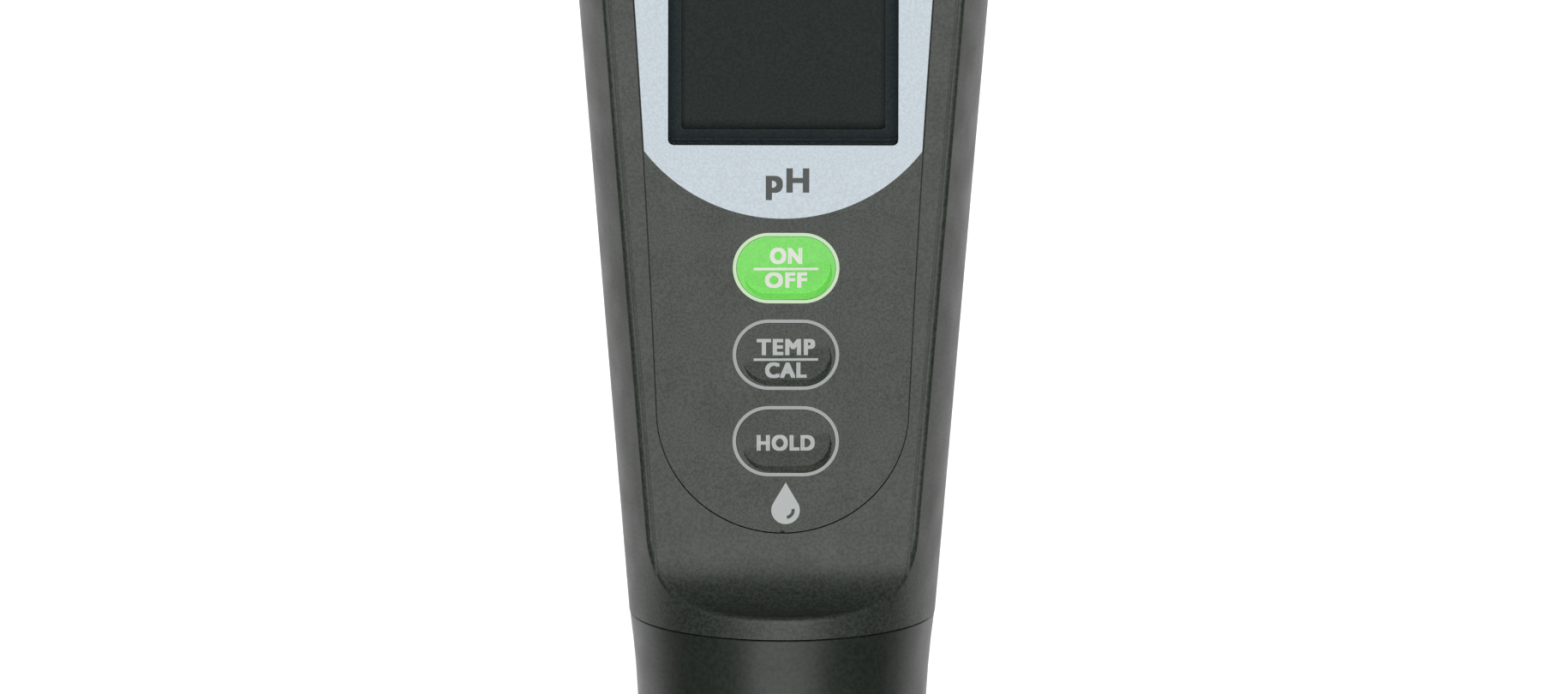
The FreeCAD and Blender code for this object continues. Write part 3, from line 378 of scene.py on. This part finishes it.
class Finish:
    """A node material under construction: a Principled shader fed from object coordinates."""

    def __init__(self, name):
        self.material = bpy.data.materials.new(name)
        self.material.use_nodes = True
        self.nodes = self.material.node_tree.nodes
        self.links = self.material.node_tree.links
        self.shader = self.nodes["Principled BSDF"]
        self.place = self.nodes.new("ShaderNodeTexCoord").outputs["Object"]

    def set(self, **values):
        """Sets sockets of the shader by name, with underscores for spaces."""
        for key, value in values.items():
            self.shader.inputs[key.replace("_", " ")].default_value = value
        return self

    def feed(self, socket, value):
        """Links a value into the shader."""
        self.links.new(value, self.shader.inputs[socket])

    def noise(self, size_mm, detail):
        """Noise whose features are about size_mm across."""
        node = self.nodes.new("ShaderNodeTexNoise")
        node.inputs["Scale"].default_value = 1 / (size_mm * MM)
        node.inputs["Detail"].default_value = detail
        self.links.new(self.place, node.inputs["Vector"])
        return node.outputs["Fac"]

    def ramp(self, value, low_colour, high_colour, low=NOISE_LOW, high=NOISE_HIGH):
        """Blends from one colour to another as a value goes from low to high."""
        node = self.nodes.new("ShaderNodeValToRGB")
        stops = ((low, low_colour), (high, high_colour))
        for element, (position, colour) in zip(node.color_ramp.elements, stops):
            element.position = position
            element.color = colour
        self.links.new(value, node.inputs["Fac"])
        return node.outputs["Color"]

    def remap(self, value, low, high):
        """Stretches a noise to a new range."""
        node = self.nodes.new("ShaderNodeMapRange")
        node.inputs["From Min"].default_value = NOISE_LOW
        node.inputs["From Max"].default_value = NOISE_HIGH
        node.inputs["To Min"].default_value = low
        node.inputs["To Max"].default_value = high
        self.links.new(value, node.inputs["Value"])
        return node.outputs["Result"]

    def even_mix(self, first, second):
        """Half of one colour and half of another."""
        node = self.nodes.new("ShaderNodeMix")
        node.data_type = "RGBA"
        node.inputs["Factor"].default_value = 0.5
        self.links.new(first, node.inputs["A"])
        self.links.new(second, node.inputs["B"])
        return node.outputs["Result"]

    def bump(self, value, height_mm):
        """Surface relief from a value."""
        node = self.nodes.new("ShaderNodeBump")
        node.inputs["Distance"].default_value = height_mm * MM
        node.inputs["Strength"].default_value = 1.0
        self.links.new(value, node.inputs["Height"])
        self.feed("Normal", node.outputs["Normal"])


# ---- Kinds of finish ----
MOTTLE_MM = 3.0                   # size of the faint mottling in a moulding
UNEVEN_GLOSS = 0.04               # its roughness varies by this
SPECK_SIZE = 1.7                  # specks are this much larger than the grain
SPECK_LOW, SPECK_HIGH = 0.35, 0.65
MARKS_MM, MARKS_TONE = 0.8, 0.9   # handling marks on metal: their size, and how dark they are
MARKS_SMOOTHER, MARKS_ROUGHER = 0.06, 0.08
METAL_GRAIN_MM, METAL_RELIEF_MM = 0.15, 0.002
SMEARS_MM, SMEARS_TONE = 4.0, 0.985
SMEARS_LOW, SMEARS_HIGH = 0.2, 0.8
SMEARS_ROUGHER = 0.02


def moulded(name, colour, rough=0.5, grain_mm=0.12, relief_mm=0.004, mottle=0.08, speckle=0.0, specular=0.5):
    """Moulded plastic: fine spark-eroded grain, faint mottling, uneven gloss, and specks if asked for."""
    finish = Finish(name).set(Specular_IOR_Level=specular)
    broad = finish.noise(MOTTLE_MM, detail=3)
    fine = finish.noise(grain_mm, detail=2)
    tone = finish.ramp(broad, scaled(colour, 1 - mottle), scaled(colour, 1 + mottle))
    if speckle:
        darker, lighter = scaled(colour, 1 - speckle), scaled(colour, 1 + speckle)
        grains = finish.noise(grain_mm * SPECK_SIZE, detail=1)
        specks = finish.ramp(grains, darker, lighter, SPECK_LOW, SPECK_HIGH)
        tone = finish.even_mix(tone, specks)
    finish.feed("Base Color", tone)
    finish.feed("Roughness", finish.remap(broad, rough - UNEVEN_GLOSS, rough + UNEVEN_GLOSS))
    finish.bump(fine, relief_mm)
    return finish.material


def metal(name, colour, rough=0.3):
    """Plated metal with faint handling marks."""
    finish = Finish(name).set(Metallic=1.0)
    marks = finish.noise(MARKS_MM, detail=4)
    finish.feed("Base Color", finish.ramp(marks, scaled(colour, MARKS_TONE), colour))
    finish.feed("Roughness", finish.remap(marks, rough - MARKS_SMOOTHER, rough + MARKS_ROUGHER))
    finish.bump(finish.noise(METAL_GRAIN_MM, detail=1), METAL_RELIEF_MM)
    return finish.material


def clear_glass(name, tint, rough, ior):
    """Clear window or electrode glass with faint smears."""
    finish = Finish(name).set(Transmission_Weight=1.0, IOR=ior)
    smears = finish.noise(SMEARS_MM, detail=2)
    tone = finish.ramp(smears, scaled(tint, SMEARS_TONE), tint, SMEARS_LOW, SMEARS_HIGH)
    finish.feed("Base Color", tone)
    finish.feed("Roughness", finish.remap(smears, rough, rough + SMEARS_ROUGHER))
    return finish.material


# ---- The instrument's finishes ----
FILM_GREY = srgb(55, 62, 54)
FILM = dict(rough=0.47, grain_mm=0.11, relief_mm=0.006, mottle=0.06, speckle=0.9, specular=0.56)
INKED = dict(rough=0.5, grain_mm=0.1, relief_mm=0.002, mottle=0.03, speckle=0.05)
PALE_INKED = dict(rough=0.5, grain_mm=0.1, relief_mm=0.002, mottle=0.02)
BEHIND_LENS = dict(rough=0.4, grain_mm=0.12, relief_mm=0.001, mottle=0.05, speckle=0.3, specular=0.05)


def outer_finishes():
    """Housing, storage cap, overlay and keys."""
    return {
        "housing": moulded("housing_plastic", srgb(55, 61, 54), rough=0.45, grain_mm=0.14,
                           relief_mm=0.006, speckle=0.7, specular=0.56),
        "cap": moulded("cap_plastic", srgb(45, 51, 45), rough=0.39, grain_mm=0.2,
                       relief_mm=0.003, mottle=0.06, speckle=0.4),
        "overlay": moulded("overlay_film", FILM_GREY, **FILM),
        "key_grey": moulded("key_grey", FILM_GREY, **FILM),
        "key_green": moulded("key_green", srgb(132, 245, 104), rough=0.45, mottle=0.04, speckle=0.12),
    }


def ink_finishes():
    """Inks of the frame, the rings, the words and the pictogram."""
    return {
        "frame_print": moulded("frame_print", srgb(221, 233, 241), rough=0.5, grain_mm=0.11,
                               relief_mm=0.003, mottle=0.02, speckle=0.13),
        "light_print": moulded("light_print", srgb(198, 204, 203), **INKED),
        "ring_print": moulded("ring_print", srgb(178, 183, 181), **INKED),
        "dark_print": moulded("dark_print", srgb(77, 80, 78), **INKED),
        "green_ring_print": moulded("green_ring_print", srgb(226, 253, 212), **PALE_INKED),
        "pale_green_print": moulded("pale_green_print", srgb(252, 255, 243), **PALE_INKED),
    }


def display_finishes():
    """The window and what lies behind it."""
    return {
        "lens": clear_glass("lens", tint=(0.97, 0.99, 0.98, 1.0), rough=0.02, ior=1.49),
        "lcd": moulded("lcd_off", srgb(56, 62, 60), **BEHIND_LENS),
        "mask": moulded("lens_mask", srgb(62, 69, 67), **BEHIND_LENS),
        # Painted shade: the darker tone of the ring along the window's edge, where the recess is shaded.
        "shade_ring": moulded("lens_shade_ring", srgb(51, 59, 62), **BEHIND_LENS),
        "white": moulded("white_plastic", srgb(225, 224, 218), rough=0.45),
        "soft": moulded("soft_strip", srgb(120, 120, 118), rough=0.7, grain_mm=0.1,
                        relief_mm=0.003, mottle=0.06),
    }


def inner_finishes():
    """The circuit board, its parts, the metalwork and the seals."""
    return {
        "board": moulded("board_mask", srgb(18, 92, 50), rough=0.35, grain_mm=0.5, mottle=0.1),
        "black": moulded("black_plastic", srgb(38, 38, 39)),
        "tan": moulded("ceramic_tan", srgb(176, 148, 108)),
        "film": moulded("flex_film", srgb(176, 112, 42), rough=0.35, grain_mm=0.4, relief_mm=0.002),
        "seal": moulded("seal_rubber", srgb(30, 30, 31), rough=0.55, grain_mm=0.2, relief_mm=0.003),
        "steel": metal("steel", srgb(196, 196, 198)),
        "gold": metal("gold_plate", srgb(226, 190, 110), rough=0.22),
    }


def sensor_finishes():
    """The sensor, and the sponge under it."""
    return {
        "sensor": moulded("sensor_plastic", srgb(44, 46, 46), rough=0.38, grain_mm=0.16,
                          relief_mm=0.003, mottle=0.05),
        "electrode": clear_glass("electrode_glass", tint=(0.94, 0.98, 0.97, 1.0), rough=0.01, ior=1.51),
        "silver": metal("silver_wire", srgb(214, 214, 210), rough=0.2),
        "sponge": moulded("sponge", srgb(214, 204, 150), rough=0.9, grain_mm=0.5,
                          relief_mm=0.12, mottle=0.12),
    }


def make_materials():
    """Every finish by name."""
    groups = (outer_finishes, ink_finishes, display_finishes, inner_finishes, sensor_finishes)
    return {name: material for group in groups for name, material in group().items()}


NODES_BY_FINISH = {
    "housing": ("housing", "battery_cap"),
    "cap": ("storage_cap",),
    "overlay": ("overlay",),
    "key_green": ("key_on_off",),
    "key_grey": ("key_temp_cal", "key_hold"),
    "lens": ("display_lens",),
    "lcd": ("lcd_glass",),
    "white": ("lcd_holder", "reference_junction"),
    "soft": ("contact_strip_lower", "contact_strip_upper", "keypad_seal"),
    "board": ("circuit_board",),
    "black": ("key_switches", "processor", "input_amplifier", "sensor_socket", "battery_tray", "sensor_head"),
    "tan": ("capacitors",),
    "film": ("socket_flex",),
    "seal": ("battery_cap_seal", "cap_seal", "sensor_seal"),
    "steel": ("board_screws", "crystal_can", "button_cells", "cell_spring", "temperature_probe"),
    "gold": ("supply_blades", "cap_contact", "sensor_pins"),
    "sensor": ("sensor_body", "sensor_collar"),
    "electrode": ("glass_electrode",),
    "silver": ("reference_wire",),
    "sponge": ("cap_sponge",),
}


def finish_nodes(materials):
    """Gives every CAD node its finish; the window casts no shadow on what is behind it."""
    for finish, nodes in NODES_BY_FINISH.items():
        for node in nodes:
            mesh = NODES[node].data
            mesh.materials.clear()
            mesh.materials.append(materials[finish])
    NODES["display_lens"].visible_shadow = False


# ---- Floor ----
FLOOR_HALF = 14.0                 # metres
FLOOR_PATCH_MM = 300.0
FLOOR_DARKER, FLOOR_LIGHTER = (0.86, 0.86, 0.855, 1), (0.88, 0.88, 0.875, 1)


def floor():
    """Plain pale floor. It stays under the storage cap, on which the instrument stands."""
    mesh = bpy.data.meshes.new("floor")
    corners = [(x * FLOOR_HALF, y * FLOOR_HALF, 0) for x, y in ((-1, -1), (1, -1), (1, 1), (-1, 1))]
    mesh.from_pydata(corners, [], [(0, 1, 2, 3)])
    obj = bpy.data.objects.new("floor", mesh)
    bpy.context.scene.collection.objects.link(obj)
    finish = Finish("floor_paint").set(Roughness=0.9)
    patches = finish.noise(FLOOR_PATCH_MM, detail=2)
    finish.feed("Base Color", finish.ramp(patches, FLOOR_DARKER, FLOOR_LIGHTER))
    mesh.materials.append(finish.material)
    for rays in ("diffuse", "glossy", "transmission", "shadow"):
        setattr(obj, "visible_" + rays, False)
    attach(obj, "storage_cap")
    return obj


# ---- Lights: metres and watts ----
MIDDLE = (0, 0, 0.11)             # the instrument's middle in the camera's view
PANEL_ELEVATION, PANEL_DISTANCE = 4, 1.4
PANEL_SIZE, PANEL_POWER = (1.4, 2.52), 24.6
BACKDROP_PLACE = (0, 1.0, MIDDLE[2])
BACKDROP_SIZE, BACKDROP_POWER = (7.0, 2.6), 64
LAMP_PLACE, LAMP_AIM = (0, 0.4, 3.0), (0, 0.4, 0)
LAMP_SIZE, LAMP_POWER = (4.0, 4.0), 130


def in_front(target, elevation, distance):
    """A place in front of a target and above it by an angle in degrees."""
    angle = math.radians(elevation)
    return Vector(target) + Vector((0, -math.cos(angle), math.sin(angle))) * distance


def panel_light(name, place, aim, size, power, only=None):
    """A soft rectangular light at a place, aimed at a point; only limits it to some objects."""
    data = bpy.data.lights.new(name, "AREA")
    data.shape = "RECTANGLE"
    data.size, data.size_y = size
    data.energy = power
    light = bpy.data.objects.new(name, data)
    light.location = place
    light.rotation_euler = (Vector(aim) - Vector(place)).to_track_quat("-Z", "Y").to_euler()
    light.visible_camera = False
    bpy.context.scene.collection.objects.link(light)
    if only:
        receivers = bpy.data.collections.new(name + "_receivers")
        for obj in only:
            receivers.objects.link(obj)
        light.light_linking.receiver_collection = receivers


def white_world():
    """White background that only the camera sees."""
    world = bpy.data.worlds.new("world")
    bpy.context.scene.world = world
    world.use_nodes = True
    background = world.node_tree.nodes["Background"]
    background.inputs["Color"].default_value = (1, 1, 1, 1)
    background.inputs["Strength"].default_value = 1.0
    for rays in ("diffuse", "glossy", "transmission"):
        setattr(world.cycles_visibility, rays, False)


def lights(ground):
    """Soft studio light: a tall panel in front, a wide backdrop behind, and a lamp for the floor alone.

    The panel lights everything but the window, which would mirror it.
    """
    lit = [obj for obj in bpy.context.scene.objects if obj.type == "MESH" and obj != NODES["display_lens"]]
    panel_place = in_front(MIDDLE, PANEL_ELEVATION, PANEL_DISTANCE)
    panel_light("front_panel", panel_place, MIDDLE, PANEL_SIZE, PANEL_POWER, only=lit)
    panel_light("backdrop", BACKDROP_PLACE, MIDDLE, BACKDROP_SIZE, BACKDROP_POWER)
    panel_light("floor_lamp", LAMP_PLACE, LAMP_AIM, LAMP_SIZE, LAMP_POWER, only=[ground])
    white_world()


# ---- Camera: metres and degrees ----
VIEW_TARGET = (0.0001, 0.0, 0.109)
VIEW_DISTANCE = 2.5
VIEW_ELEVATION = 11.5
VIEW_ROLL = 0.12
VIEW_WIDTH = 0.12323              # width of what is seen at the target
VIEW_NEAREST, VIEW_FARTHEST = 0.05, 100
SENSOR_WIDTH = 36.0               # millimetres, as Blender counts it


def camera():
    """Long-lens camera in front of the keys and above them, looking slightly down."""
    data = bpy.data.cameras.new("camera")
    data.sensor_width = SENSOR_WIDTH
    data.lens = SENSOR_WIDTH * VIEW_DISTANCE / VIEW_WIDTH
    data.clip_start, data.clip_end = VIEW_NEAREST, VIEW_FARTHEST
    obj = bpy.data.objects.new("camera", data)
    obj.location = in_front(VIEW_TARGET, VIEW_ELEVATION, VIEW_DISTANCE)
    upright = Matrix.Rotation(math.pi / 2 - math.radians(VIEW_ELEVATION), 3, "X")
    obj.rotation_euler = (upright @ Matrix.Rotation(math.radians(VIEW_ROLL), 3, "Z")).to_euler()
    bpy.context.scene.collection.objects.link(obj)
    bpy.context.scene.camera = obj


def main():
    """Dresses the CAD frame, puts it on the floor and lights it."""
    materials = make_materials()
    finish_nodes(materials)
    printing(materials)
    ground = floor()
    lights(ground)
    camera()
    bpy.context.scene.view_settings.view_transform = "Standard"


main()
